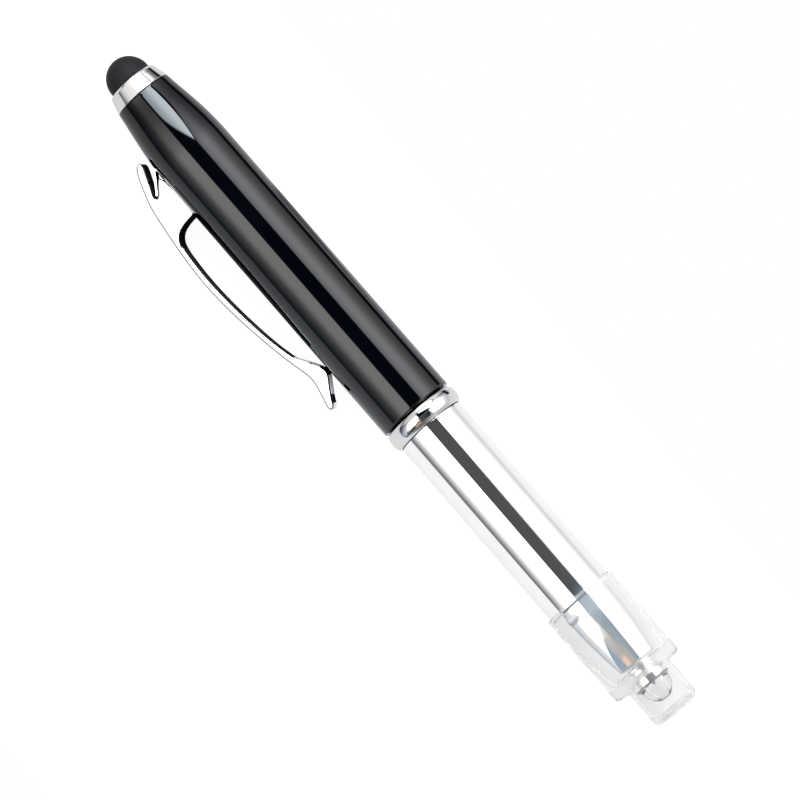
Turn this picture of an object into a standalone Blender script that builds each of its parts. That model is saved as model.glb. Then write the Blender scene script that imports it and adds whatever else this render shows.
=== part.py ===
# Multifunction pen: twist-action ballpoint with a lit tip, a capacitive stylus at the other end, a sprung clip and a milky pull-off cap over the tip.
# Metres, +Z up. The pen lies on its side: +X runs from the stylus to the capped writing end, the clip is on the -Y side and touches the ground.
import math

import bmesh
import bpy
from mathutils import Vector

MM = 0.001

# ---- overall layout, millimetres along the pen axis (0 = lower end of the black barrel, + towards the writing end) ----
U_STYLUS_TIP = -78.0
U_STYLUS_BASE = -73.9
U_FERRULE_END = -70.4
U_BARREL_TOP = -70.3
U_BARREL_END = 0.2
U_COLLAR = (0.45, 3.75)
U_LOWER = 3.95                  # shoulder of the lower barrel, under the collar
U_CAP_MOUTH = 41.65
U_SEAM = 42.5
U_NOSE_END = 57.6
U_BEZEL = (58.2, 60.7)
U_LENS_TIP = 64.1
U_CAP_SHOULDER = 59.2
U_CAP_END = 66.8

# ---- radii, millimetres ----
R_STYLUS = 3.95
R_FERRULE_TOP = 4.62
R_FERRULE_END = 5.27
R_BARREL = 6.60
R_BARREL_BORE = 5.60
R_COLLAR = 7.00
R_SPIGOT = 4.65                 # the part of the lower barrel that turns inside the upper one
R_SPIGOT_BORE = 3.85
R_LOWER = 6.20
R_LOWER_BORE = 5.30
R_CAP_BORE = 6.34
R_CAP_WIDE = 6.75
R_CAP_NARROW = 4.50
R_NOSE = 6.15
R_NOSE_END = 4.62
R_BEZEL = 3.45
R_LENS = 2.80

# ---- clip ----
CLIP_TILT = math.radians(22.5)  # how far the clip points below the horizontal
CLIP_HALF_WIDE = 2.3            # half width at the foot
CLIP_HALF_TAIL = 1.9            # half width at the tail
CLIP_CHEEK = 0.8                # sheet thickness of the two cheeks
CLIP_MAX_L = 13.06
PIN_U, PIN_L, PIN_R = -56.3, 7.75, 0.5

# ---- twist mechanism ----
TWIST_DEG = 160.0
FEED = 4.8                      # refill travel over the whole twist
CAM_U = -20.9                   # lowest level of the ramp
CARRIER_U = -20.0               # cross pin at rest

# ---- row frame ----
X0 = -(U_STYLUS_TIP + U_CAP_END) / 2.0
AZ = R_COLLAR
AY = (CLIP_MAX_L * math.cos(CLIP_TILT) + 2.12 * math.sin(CLIP_TILT) - R_COLLAR) / 2.0

N_OUT = 32
N_IN = 24

for ob in list(bpy.data.objects):
    bpy.data.objects.remove(ob, do_unlink=True)


# ---- materials ----
def material(name, colour, metallic=0.0, rough=0.4, transmission=0.0, ior=1.45):
    m = bpy.data.materials.new(name)
    m.use_nodes = True
    p = m.node_tree.nodes["Principled BSDF"]
    p.inputs["Base Color"].default_value = (*colour, 1.0)
    p.inputs["Metallic"].default_value = metallic
    p.inputs["Roughness"].default_value = rough
    p.inputs["Transmission Weight"].default_value = transmission
    p.inputs["IOR"].default_value = ior
    m.diffuse_color = (*colour, 1.0)
    return m


LOOKS = {
    "chrome": ((0.85, 0.86, 0.88), 1.0, 0.06),
    "lacquer": ((0.008, 0.008, 0.010), 0.0, 0.06),
    "rubber": ((0.025, 0.026, 0.030), 0.0, 0.65),
    "steel": ((0.62, 0.63, 0.65), 1.0, 0.22),
    "brass": ((0.75, 0.56, 0.25), 1.0, 0.25),
    "cell": ((0.70, 0.70, 0.71), 1.0, 0.18),
    "white_plastic": ((0.82, 0.82, 0.80), 0.0, 0.40),
    "black_plastic": ((0.02, 0.02, 0.022), 0.0, 0.40),
    "board": ((0.88, 0.88, 0.85), 0.0, 0.50),
    "phosphor": ((0.95, 0.80, 0.22), 0.0, 0.50),
    "nickel": ((0.72, 0.69, 0.62), 1.0, 0.20),
    "carbide": ((0.35, 0.36, 0.38), 1.0, 0.10),
    "clear": ((0.96, 0.97, 0.98), 0.0, 0.03, 1.0, 1.49),
    "milky": ((0.90, 0.91, 0.92), 0.0, 0.25, 0.7, 1.49),
}


def on_axis(u, r, a):
    return ((u + X0) * MM, (AY + r * math.cos(a)) * MM, (AZ + r * math.sin(a)) * MM)


def on_clip(u, l, w):
    c, s = math.cos(CLIP_TILT), math.sin(CLIP_TILT)
    return ((u + X0) * MM, (AY - l * c + w * s) * MM, (AZ - l * s - w * c) * MM)


# ---- one empty per moving group, each on its joint's axis ----
AXES = {}


def axis_empty(name, spot, parent=None):
    e = bpy.data.objects.new(name, None)
    e.empty_display_size = 0.01
    bpy.context.scene.collection.objects.link(e)
    spot = Vector(spot)
    if parent:
        e.parent = AXES[parent][0]
        e.location = spot - AXES[parent][1]
    else:
        e.location = spot
    AXES[name] = (e, spot)


axis_empty("pen_axis", on_axis(-35.0, 0.0, 0.0))
axis_empty("tail_axis", on_axis(U_FERRULE_END, 0.0, 0.0), "pen_axis")
axis_empty("clip_axis", on_clip(PIN_U, PIN_L, 0.0), "pen_axis")
axis_empty("twist_axis", on_axis(0.0, 0.0, 0.0), "pen_axis")
axis_empty("feed_axis", on_axis(CARRIER_U, 0.0, 0.0), "twist_axis")
axis_empty("cap_axis", on_axis(U_CAP_MOUTH, 0.0, 0.0), "twist_axis")
GROUP = "pen_axis"


def group(name):
    global GROUP
    GROUP = name


def place(name, bm, look):
    """Makes one object, with its own origin on the axis of the group that it moves with."""
    empty, spot = AXES[GROUP]
    bmesh.ops.remove_doubles(bm, verts=bm.verts, dist=1e-7)
    bmesh.ops.recalc_face_normals(bm, faces=bm.faces)
    bmesh.ops.translate(bm, verts=bm.verts, vec=-spot)
    me = bpy.data.meshes.new(name)
    bm.to_mesh(me)
    bm.free()
    me.shade_smooth()
    me.set_sharp_from_angle(angle=math.radians(35.0))
    me.materials.append(material(name, *LOOKS[look]))
    ob = bpy.data.objects.new(name, me)
    bpy.context.scene.collection.objects.link(ob)
    ob.parent = empty
    return ob


# ---- shape makers ----
def lathe(name, profile, look, n=N_IN):
    """Turns a closed (u, r) section about the pen axis. Points with r = 0 lie on the axis."""
    bm = bmesh.new()
    rings = []
    for u, r in profile:
        if r == 0.0:
            rings.append([bm.verts.new(on_axis(u, 0.0, 0.0))])
        else:
            rings.append([bm.verts.new(on_axis(u, r, 2 * math.pi * k / n)) for k in range(n)])
    for i in range(len(rings)):
        a, b = rings[i], rings[(i + 1) % len(rings)]
        if len(a) == 1 and len(b) == 1:
            continue
        for k in range(n):
            k2 = (k + 1) % n
            if len(a) == 1:
                bm.faces.new((a[0], b[k], b[k2]))
            elif len(b) == 1:
                bm.faces.new((a[k], b[0], a[k2]))
            else:
                bm.faces.new((a[k], b[k], b[k2], a[k2]))
    return place(name, bm, look)


def half_width(u):
    t = (u + 62.0) / 52.0
    return CLIP_HALF_WIDE + (CLIP_HALF_TAIL - CLIP_HALF_WIDE) * t


def prism(name, polygon, look, width):
    """Sweeps a (u, l) side view across the clip's width. width(u) gives the half width."""
    bm = bmesh.new()
    near = [bm.verts.new(on_clip(u, l, -width(u))) for u, l in polygon]
    far = [bm.verts.new(on_clip(u, l, width(u))) for u, l in polygon]
    bm.faces.new(near)
    bm.faces.new(list(reversed(far)))
    for i in range(len(polygon)):
        j = (i + 1) % len(polygon)
        bm.faces.new((near[i], far[i], far[j], near[j]))
    return place(name, bm, look)


def cross_rod(name, u, l, r, w0, w1, look, n=12, phase=0.0):
    """A round rod along the clip's width."""
    bm = bmesh.new()
    ends = []
    for w in (w0, w1):
        ends.append([bm.verts.new(on_clip(u + r * math.cos(2 * math.pi * k / n + phase), l + r * math.sin(2 * math.pi * k / n + phase), w)) for k in range(n)])
    bm.faces.new(ends[0])
    bm.faces.new(list(reversed(ends[1])))
    for k in range(n):
        k2 = (k + 1) % n
        bm.faces.new((ends[0][k], ends[1][k], ends[1][k2], ends[0][k2]))
    return place(name, bm, look)


def block(name, u0, u1, y0, y1, z0, z1, look):
    bm = bmesh.new()
    v = [bm.verts.new(((u + X0) * MM, (AY + y) * MM, (AZ + z) * MM)) for u in (u0, u1) for y in (y0, y1) for z in (z0, z1)]
    for f in ((0, 1, 3, 2), (4, 6, 7, 5), (0, 4, 5, 1), (2, 3, 7, 6), (0, 2, 6, 4), (1, 5, 7, 3)):
        bm.faces.new([v[i] for i in f])
    return place(name, bm, look)


def coil(name, u0, u1, r0, r1, wire, turns, look, per_turn=10, sides=5):
    """A compression spring about the pen axis."""
    bm = bmesh.new()
    steps = int(turns * per_turn)
    rings = []
    for i in range(steps + 1):
        f = i / steps
        a = 2 * math.pi * turns * f
        r = r0 + (r1 - r0) * f
        u = u0 + wire + (u1 - u0 - 2 * wire) * f
        ring = []
        for k in range(sides):
            b = 2 * math.pi * k / sides
            ring.append(bm.verts.new(on_axis(u + wire * math.sin(b), r + wire * math.cos(b), a)))
        rings.append(ring)
    for i in range(steps):
        for k in range(sides):
            k2 = (k + 1) % sides
            bm.faces.new((rings[i][k], rings[i + 1][k], rings[i + 1][k2], rings[i][k2]))
    bm.faces.new(rings[0])
    bm.faces.new(list(reversed(rings[-1])))
    return place(name, bm, look)


def cut(target, tool):
    tool.hide_render = True
    tool.display_type = "WIRE"
    mod = target.modifiers.new("cut_" + tool.name, "BOOLEAN")
    mod.operation = "DIFFERENCE"
    mod.solver = "EXACT"
    mod.object = tool
    return tool


def arc(cu, cr, radius, a0, a1, n):
    """Points on an arc in the section plane, angles in degrees from +u towards +r."""
    out = []
    for i in range(n + 1):
        a = math.radians(a0 + (a1 - a0) * i / n)
        out.append((cu + radius * math.cos(a), cr + radius * math.sin(a)))
    return out


def barrel_radius(u):
    """Outer radius of the black barrel: a long straight part that eases into the stylus ferrule."""
    t = min(1.0, max(0.0, (u - U_BARREL_TOP) / 13.5))
    return R_FERRULE_END + (R_BARREL - R_FERRULE_END) * math.sin(t * math.pi / 2) ** 1.15


# =====================================================================================================================
# stylus end
# =====================================================================================================================
group("tail_axis")
dome_h = U_STYLUS_BASE - U_STYLUS_TIP
dome = [(U_STYLUS_BASE - dome_h * math.sin(math.radians(a)), R_STYLUS * math.cos(math.radians(a))) for a in (0, 18, 36, 54, 72)]
inner = [(U_STYLUS_BASE - (dome_h - 0.8) * math.sin(math.radians(a)), 3.05 * math.cos(math.radians(a))) for a in (72, 54, 36, 18, 0)]
lathe("stylus_tip", [(-71.4, 3.05), (-71.4, 3.5), (-73.5, 3.5), (-73.55, R_STYLUS)] + dome + [(U_STYLUS_TIP, 0.0), (U_STYLUS_TIP + 0.8, 0.0)] + inner, "rubber", N_OUT)
lathe("stylus_core", [(-76.2, 0.0), (-76.0, 1.3), (-75.2, 2.2), (-74.0, 2.85), (-71.2, 2.85), (-71.0, 3.4), (-70.2, 3.4), (-70.2, 2.4), (-68.2, 2.4), (-68.0, 0.0)], "steel")
lathe(
    "stylus_ferrule",
    [(-73.45, 3.6), (-73.45, 4.12), (-73.3, 4.42), (-72.9, R_FERRULE_TOP + 0.08), (-72.0, 4.97), (U_FERRULE_END, R_FERRULE_END),
     (U_FERRULE_END, 3.95), (-65.6, 3.95), (-65.6, 2.6), (-70.0, 2.6), (-70.0, 3.6)],
    "chrome", N_OUT,
)
group("pen_axis")
lathe("tail_bush", [(-70.25, 4.05), (-70.25, 4.5), (-65.9, 4.5), (-65.7, 4.05)], "brass")

# =====================================================================================================================
# upper barrel, power pack
# =====================================================================================================================
outer = [(u, barrel_radius(u)) for u in (U_BARREL_TOP, -68.4, -66.4, -64.2, -62.0, -59.5, -56.8)] + [(-28.0, R_BARREL), (U_BARREL_END - 0.15, R_BARREL), (U_BARREL_END, R_BARREL - 0.15)]
barrel = lathe("upper_barrel", outer + [(U_BARREL_END, R_BARREL_BORE), (-62.0, R_BARREL_BORE), (-65.5, 4.6), (U_BARREL_TOP, 4.6)], "lacquer", N_OUT)
cut(barrel, prism("window_cutter", [(-60.0, 5.0), (-52.3, 5.0), (-52.3, 7.6), (-60.0, 7.6)], "steel", lambda u: 1.45))

lathe("battery_sleeve", [(-47.5, 4.05), (-47.5, 4.4), (-33.4, 4.4), (-33.4, 3.1), (-34.3, 3.1), (-34.3, 4.05)], "white_plastic")
for i in range(3):
    a = -46.6 + 3.75 * i
    lathe("button_cell_%d" % (i + 1), [(a, 0.0), (a, 3.2), (a + 0.35, 3.25), (a + 0.35, 3.75), (a + 0.6, 3.95), (a + 3.6, 3.95), (a + 3.6, 0.0)], "cell")
lathe("contact_plate", [(-35.2, 0.0), (-35.2, 3.8), (-34.6, 3.8), (-34.6, 0.0)], "brass")
coil("battery_spring", -67.8, -46.8, 1.9, 3.2, 0.25, 7, "steel")

# =====================================================================================================================
# sprung clip: lever, bracket through the barrel wall, pin and leaf spring
# =====================================================================================================================
clip_side = (
    # outer face, from the press finger to the tail
    [(-62.15, 7.95), (-61.7, 8.75), (-60.3, 9.55), (-58.6, 10.2), (-56.9, 10.8), (-55.3, 11.3), (-53.4, 11.65), (-50.0, 12.15), (-44.9, 12.75), (-41.5, 13.0), (-38.9, CLIP_MAX_L),
     (-36.4, 13.0), (-32.2, 12.7), (-28.0, 12.2), (-23.7, 11.55), (-19.5, 10.75), (-16.9, 10.15), (-15.2, 9.9), (-12.3, 10.45), (-9.75, 11.1)]
    # tail lip, then the pad that touches the barrel, then the under side of the arm
    + [(-9.2, 10.75), (-9.2, 10.1), (-10.95, 9.1), (-12.65, 8.0), (-13.85, 7.15), (-14.85, 6.75), (-15.95, 7.15), (-17.15, 7.85), (-18.55, 8.75), (-19.95, 9.7), (-23.7, 10.55), (-28.0, 11.2),
       (-32.2, 11.65), (-36.4, 11.93), (-39.8, 12.0), (-43.2, 11.87), (-46.1, 11.6), (-47.45, 11.2), (-48.45, 10.3), (-49.0, 8.7), (-49.2, 6.75)]
    # foot, then the notch under the press finger
    + [(-56.3, 6.72), (-58.0, 6.95), (-57.2, 7.75), (-55.7, 9.0), (-55.35, 9.4), (-55.6, 9.85), (-58.2, 8.85), (-60.9, 7.75), (-61.6, 7.55)]
)
group("clip_axis")
lever = prism("clip_lever", clip_side, "chrome", half_width)
cut(lever, prism("channel_cutter", [(-58.8, 6.2), (-50.5, 6.2), (-50.2, 10.6), (-54.4, 10.35), (-54.9, 9.0), (-58.8, 9.0)], "steel", lambda u: CLIP_HALF_WIDE - CLIP_CHEEK))
cut(lever, cross_rod("lever_pin_cutter", PIN_U, PIN_L, PIN_R + 0.1, -2.0, 2.0, "steel", phase=0.05))
group("pen_axis")
bracket = prism("clip_bracket", [(-60.3, 4.65), (-50.6, 4.65), (-50.6, 5.3), (-52.5, 5.3), (-52.5, 8.1), (-53.2, 8.7), (-56.0, 8.6), (-57.3, 8.0), (-57.3, 5.3), (-60.3, 5.3)], "steel", lambda u: 1.2)
cut(bracket, cross_rod("bracket_pin_cutter", PIN_U, PIN_L, PIN_R + 0.1, -3.0, 3.0, "steel", phase=0.05))
cross_rod("clip_pin", PIN_U, PIN_L, PIN_R, -1.9, 1.9, "steel", phase=0.05)
prism("clip_leaf_spring", [(-59.8, 5.45), (-59.3, 5.45), (-59.2, 6.85), (-58.3, 7.4), (-55.95, 9.25), (-56.2, 9.53), (-58.6, 7.72), (-59.7, 7.05)], "steel", lambda u: 1.15)

# =====================================================================================================================
# twist mechanism
# =====================================================================================================================
def cam_level(angle):
    """Height of the two-start ramp above its base at an angle in degrees, counted from the cross pin at rest."""
    a = (angle + 14.0) % 180.0 - 14.0
    return FEED * min(1.0, max(0.0, a / TWIST_DEG))


def cam_ring(name, r_in, r_out, u_back, look, n=60):
    bm = bmesh.new()
    cols = []
    for k in range(n):
        deg = 360.0 * k / n - 14.0
        wall = k % (n // 2) == 0
        a = math.radians(deg)
        tops = [FEED, 0.0] if wall else [cam_level(deg)]
        cols.append([[bm.verts.new(on_axis(CAM_U + h, r, a)) for h in tops] + [bm.verts.new(on_axis(u_back, r, a))] for r in (r_in, r_out)])
    for k in range(n):
        a, b = cols[k], cols[(k + 1) % n]
        ai, ao, bi, bo = a[0], a[1], b[0], b[1]
        # a column's last top level is where the next ramp starts, its first is where the last ramp ends
        bm.faces.new((ai[-2], ao[-2], bo[0], bi[0]))
        bm.faces.new((ai[-1], bi[-1], bo[-1], ao[-1]))
        inner_face = [ai[-1], ai[-2], bi[0]] + ([bi[1]] if len(bi) == 3 else []) + [bi[-1]]
        outer_face = [ao[-1], bo[-1]] + ([bo[1]] if len(bo) == 3 else []) + [bo[0], ao[-2]]
        bm.faces.new(inner_face)
        bm.faces.new(outer_face)
        if len(ai) == 3:
            bm.faces.new((ai[0], ao[0], ao[1], ai[1]))
    return place(name, bm, look)


cam_ring("twist_cam", 3.95, 5.45, -25.2, "white_plastic")
lathe("bearing_bush", [(-11.4, 4.75), (-11.4, 5.45), (-0.6, 5.45), (-0.6, 4.75), (-4.6, 4.75), (-4.6, 5.28), (-5.8, 5.28), (-5.8, 4.75)], "white_plastic")

# =====================================================================================================================
# lower barrel, light and nose
# =====================================================================================================================
group("twist_axis")
lathe(
    "collar_ring",
    [(U_COLLAR[0], 4.8), (U_COLLAR[0], 6.25)] + [(2.08 + 1.7 * math.sin(math.radians(a)), 6.2 + 0.8 * math.cos(math.radians(a))) for a in (-62, -36, -12, 12, 36, 60)]
    + [(U_COLLAR[1], 6.3), (U_COLLAR[1], 4.8)],
    "chrome", N_OUT,
)
lathe("friction_ring", arc(-5.2, 5.02, 0.2, 0, 315, 7), "rubber")
lathe(
    "lower_barrel",
    [(-11.0, R_SPIGOT_BORE), (-11.0, R_SPIGOT), (U_LOWER, R_SPIGOT), (U_LOWER, R_LOWER - 0.1), (U_LOWER + 0.1, R_LOWER), (U_SEAM - 0.1, R_LOWER), (U_SEAM, R_LOWER - 0.1),
     (U_SEAM, R_LOWER_BORE), (6.5, R_LOWER_BORE), (5.2, R_SPIGOT_BORE)],
    "chrome", N_OUT,
)
sleeve = lathe("guide_sleeve", [(-25.0, 2.95), (-25.0, 3.7), (-2.5, 3.7), (-2.5, 2.95)], "steel")
cut(sleeve, block("slot_cutter", -21.1, -14.0, -6.0, 6.0, -0.85, 0.85, "steel"))

nose = [(42.7, 5.15), (42.7, R_NOSE - 0.12), (42.85, R_NOSE), (44.5, R_NOSE)]
nose += [(u, R_NOSE - (R_NOSE - R_NOSE_END) * ((u - 44.5) / 11.8) ** 1.9) for u in (46.5, 48.5, 50.5, 52.5, 54.3, 55.5, 56.3)]
nose += [(56.5, R_NOSE_END - 0.2), (56.6, 3.45), (U_NOSE_END - 0.1, 3.45), (U_NOSE_END, 3.35), (U_NOSE_END, 2.35), (55.9, 2.35), (55.9, 3.0), (52.0, 3.0), (48.5, 4.4), (37.5, 4.4), (37.5, 5.15)]
lathe("nose_cone", nose, "chrome", N_OUT)
lathe("led_bezel", [(57.75, 2.35), (57.75, 2.9), (U_BEZEL[0], 2.9), (U_BEZEL[0], 3.25), (58.5, R_BEZEL), (60.3, R_BEZEL), (U_BEZEL[1], 3.15), (U_BEZEL[1], 2.92), (58.7, 2.92), (58.7, 2.35)], "chrome", N_OUT)
lens_r = [(60.75 + (U_LENS_TIP - 60.75) * math.sin(math.radians(a)), R_LENS * math.cos(math.radians(a))) for a in (0, 15, 30, 45, 60)]
lathe("light_lens", [(55.0, 1.5), (55.0, 2.2), (58.85, 2.2), (58.85, R_LENS)] + lens_r + [(63.88, 1.0), (62.9, 1.02), (61.9, 1.4)], "clear", N_OUT)
lathe("led_board", [(53.6, 1.6), (53.6, 2.9), (54.1, 2.9), (54.1, 1.6)], "board")
block("led_chip_1", 54.15, 54.75, 1.72, 2.52, -0.5, 0.5, "phosphor")
block("led_chip_2", 54.15, 54.75, -2.52, -1.72, -0.5, 0.5, "phosphor")
coil("refill_spring", 42.2, 53.4, 1.95, 1.95, 0.2, 8, "steel")

# =====================================================================================================================
# refill and its carrier
# =====================================================================================================================
group("feed_axis")
carrier = lathe("refill_carrier", [(-24.5, 0.0), (-24.5, 2.6), (-24.0, 2.85), (-13.2, 2.85), (-13.2, 1.65), (-16.5, 1.65), (-16.5, 0.0)], "black_plastic")


def radial_rod(name, u, r, reach, look, n=12):
    bm = bmesh.new()
    ends = []
    for y in (-reach, reach):
        ends.append([bm.verts.new(((u + r * math.cos(2 * math.pi * k / n) + X0) * MM, (AY + y) * MM, (AZ + r * math.sin(2 * math.pi * k / n)) * MM)) for k in range(n)])
    bm.faces.new(ends[0])
    bm.faces.new(list(reversed(ends[1])))
    for k in range(n):
        k2 = (k + 1) % n
        bm.faces.new((ends[0][k], ends[1][k], ends[1][k2], ends[0][k2]))
    return place(name, bm, look)


cut(carrier, radial_rod("cross_hole_cutter", CARRIER_U, 0.78, 7.0, "steel"))
radial_rod("carrier_pin", CARRIER_U, 0.7, 5.2, "steel")
coil("contact_spring", -34.4, -24.7, 1.6, 2.2, 0.2, 6, "brass")
lathe("refill_tube", [(-16.3, 0.0), (-16.3, 1.55), (42.6, 1.55), (42.9, 1.45), (46.1, 1.45), (46.1, 0.0)], "steel")
lathe("refill_collar", [(40.0, 1.62), (40.0, 2.5), (42.0, 2.5), (42.0, 1.62)], "brass")
lathe("refill_nib", [(46.25, 0.0), (46.25, 1.4), (47.1, 1.15), (56.8, 1.15), (57.8, 0.85), (60.5, 0.42), (60.5, 0.34), (60.2, 0.0)], "nickel")
ball = [(60.72 + 0.3 * math.cos(math.radians(a)), 0.3 * math.sin(math.radians(a))) for a in (30, 60, 90, 120, 150)]
lathe("nib_ball", [(61.02, 0.0)] + ball + [(60.42, 0.0)], "carbide", 16)

# =====================================================================================================================
# pull-off cap of milky plastic over the nose
# =====================================================================================================================
group("cap_axis")
lathe(
    "tip_cap",
    [(U_CAP_MOUTH, R_CAP_BORE), (U_CAP_MOUTH, R_CAP_WIDE - 0.15), (U_CAP_MOUTH + 0.15, R_CAP_WIDE - 0.02), (U_CAP_SHOULDER - 0.4, R_CAP_WIDE), (U_CAP_SHOULDER, R_CAP_WIDE - 0.35),
     (U_CAP_SHOULDER, R_CAP_NARROW + 0.2), (U_CAP_SHOULDER + 0.2, R_CAP_NARROW), (66.0, R_CAP_NARROW - 0.15), (66.5, 4.15), (U_CAP_END, 3.7), (U_CAP_END, 0.0),
     (66.0, 0.0), (66.0, 3.3), (65.6, 3.6), (57.9, 3.78), (57.0, 4.3), (56.8, 5.0), (50.2, 6.08), (46.0, R_CAP_BORE)],
    "milky", N_OUT,
)
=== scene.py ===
import math

import bmesh
import bpy
from mathutils import Matrix, Vector


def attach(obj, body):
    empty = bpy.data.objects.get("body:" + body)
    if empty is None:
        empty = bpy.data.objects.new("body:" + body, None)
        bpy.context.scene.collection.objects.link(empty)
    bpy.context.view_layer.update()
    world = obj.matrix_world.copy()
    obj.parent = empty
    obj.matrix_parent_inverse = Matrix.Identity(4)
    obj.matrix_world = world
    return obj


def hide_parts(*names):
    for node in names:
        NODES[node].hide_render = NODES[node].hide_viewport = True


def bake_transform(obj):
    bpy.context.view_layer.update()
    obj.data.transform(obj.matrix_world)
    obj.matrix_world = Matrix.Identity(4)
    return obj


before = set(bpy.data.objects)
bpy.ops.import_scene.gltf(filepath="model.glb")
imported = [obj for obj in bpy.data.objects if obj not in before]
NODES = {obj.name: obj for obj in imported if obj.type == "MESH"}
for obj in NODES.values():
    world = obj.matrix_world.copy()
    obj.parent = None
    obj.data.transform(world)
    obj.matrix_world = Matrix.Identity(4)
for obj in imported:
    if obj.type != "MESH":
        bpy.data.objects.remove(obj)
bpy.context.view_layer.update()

# ---------------------------------------------------------------- the pen's frame
# u runs along the pen from the barrel's lower edge (0) to the light (+), r is the
# distance from the pen's axis, l the distance from it on the clip's side and w is
# across the clip.  All in millimetres; meshes are in metres.
MM = 0.001
X0 = 5.6
AXIS_Z = 7.0
TILT = math.radians(22.5)
TC, TS = math.cos(TILT), math.sin(TILT)
AXIS_Y = (13.06 * TC + 2.12 * TS - 7.0) / 2.0


def on_axis(u, r, a):
    return Vector((u + X0, AXIS_Y + r * math.cos(a), AXIS_Z + r * math.sin(a))) * MM


def on_clip(u, l, w):
    return Vector((u + X0, AXIS_Y - l * TC + w * TS, AXIS_Z - l * TS - w * TC)) * MM


# ---------------------------------------------------------------- mesh helpers
def finish_mesh(name, bm, sharp=38.0):
    bmesh.ops.remove_doubles(bm, verts=bm.verts, dist=1e-8)
    bmesh.ops.recalc_face_normals(bm, faces=bm.faces)
    me = bpy.data.meshes.new(name)
    bm.to_mesh(me)
    bm.free()
    me.shade_smooth()
    me.set_sharp_from_angle(angle=math.radians(sharp))
    ob = bpy.data.objects.new(name, me)
    bpy.context.scene.collection.objects.link(ob)
    return ob


def rounded(points):
    """A turned profile with its corners rounded: points are (u, r) or (u, r, radius)."""
    out = []
    n = len(points)
    for i, p in enumerate(points):
        here = Vector(p[:2])
        f = p[2] if len(p) > 2 else 0.0
        if f <= 0 or i in (0, n - 1):
            out.append(here)
            continue
        a, b = Vector(points[i - 1][:2]), Vector(points[i + 1][:2])
        da, db = a - here, b - here
        half = da.angle(db) / 2.0
        cut = min(f / math.tan(half), 0.48 * da.length, 0.48 * db.length)
        pa, pb = here + da.normalized() * cut, here + db.normalized() * cut
        steps = 7
        for k in range(steps + 1):
            t = k / steps
            w = math.cos(half) if half < 1.5 else 1.0
            w = math.sin(half)
            num = pa * (1 - t) ** 2 + here * (2 * w * t * (1 - t)) + pb * t ** 2
            out.append(num / ((1 - t) ** 2 + 2 * w * t * (1 - t) + t ** 2))
    return out


def supported(points, step=2.5, guard=0.12):
    """Extra rings beside each corner and along long runs, so that smooth shading stays true."""
    out = [points[0]]
    for a, b in zip(points, points[1:]):
        run = (b - a).length
        if run > 4 * guard:
            inner = [guard / run]
            k = max(1, int(run / step))
            inner += [j / k for j in range(1, k)]
            inner.append(1 - guard / run)
            out += [a.lerp(b, t) for t in sorted(set(inner))]
        out.append(b)
    return out


def turned(name, points, seg=144, step=2.5, guard=0.12, plain=False):
    """Turns a profile round the pen's axis.  A profile that starts and ends on the axis is
    a solid, and any other profile closes on itself as a ring."""
    solid = points[0][1] < 1e-6 and points[-1][1] < 1e-6
    if plain:
        pts = [Vector(p[:2]) for p in points]
        if not solid:
            pts.append(pts[0].copy())
    else:
        if not solid:
            points = list(points) + [points[0]]
        pts = supported(rounded(points), step, guard)
    if not solid:
        pts = pts[:-1]
    bm = bmesh.new()
    rings = []
    for p in pts:
        if p.y < 1e-6:
            rings.append([bm.verts.new(on_axis(p.x, 0, 0))])
        else:
            rings.append([bm.verts.new(on_axis(p.x, p.y, 2 * math.pi * k / seg)) for k in range(seg)])
    pairs = list(zip(rings, rings[1:]))
    if not solid:
        pairs.append((rings[-1], rings[0]))
    for a, b in pairs:
        if len(a) == 1 and len(b) == 1:
            continue
        for k in range(seg):
            m = (k + 1) % seg
            if len(a) == 1:
                bm.faces.new((a[0], b[m], b[k]))
            elif len(b) == 1:
                bm.faces.new((a[k], a[m], b[0]))
            else:
                bm.faces.new((a[k], a[m], b[m], b[k]))
    return finish_mesh(name, bm)


def spline(points, step=0.35):
    """A smooth curve through (u, l) points, without its last point."""
    p = [Vector(q) for q in points]
    p = [p[0] * 2 - p[1]] + p + [p[-1] * 2 - p[-2]]
    out = []
    for i in range(1, len(p) - 2):
        a, b, c, d = p[i - 1], p[i], p[i + 1], p[i + 2]
        t0 = 0.0
        t1 = t0 + math.sqrt((b - a).length)
        t2 = t1 + math.sqrt((c - b).length)
        t3 = t2 + math.sqrt((d - c).length)
        k = max(2, int((c - b).length / step))
        for j in range(k):
            t = t1 + (t2 - t1) * j / k
            a1 = a * ((t1 - t) / (t1 - t0)) + b * ((t - t0) / (t1 - t0))
            a2 = b * ((t2 - t) / (t2 - t1)) + c * ((t - t1) / (t2 - t1))
            a3 = c * ((t3 - t) / (t3 - t2)) + d * ((t - t2) / (t3 - t2))
            b1 = a1 * ((t2 - t) / (t2 - t0)) + a2 * ((t - t0) / (t2 - t0))
            b2 = a2 * ((t3 - t) / (t3 - t1)) + a3 * ((t - t1) / (t3 - t1))
            out.append(b1 * ((t2 - t) / (t2 - t1)) + b2 * ((t - t1) / (t2 - t1)))
    return out


def extruded(outline, half):
    """A closed (u, l) outline given a width: half(u) is half the width there."""
    bm = bmesh.new()
    near = [bm.verts.new(on_clip(p.x, p.y, -half(p.x))) for p in outline]
    far = [bm.verts.new(on_clip(p.x, p.y, half(p.x))) for p in outline]
    bm.faces.new(near)
    bm.faces.new(list(reversed(far)))
    n = len(outline)
    for i in range(n):
        j = (i + 1) % n
        bm.faces.new((near[j], near[i], far[i], far[j]))
    bmesh.ops.recalc_face_normals(bm, faces=bm.faces)
    return bm


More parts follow.
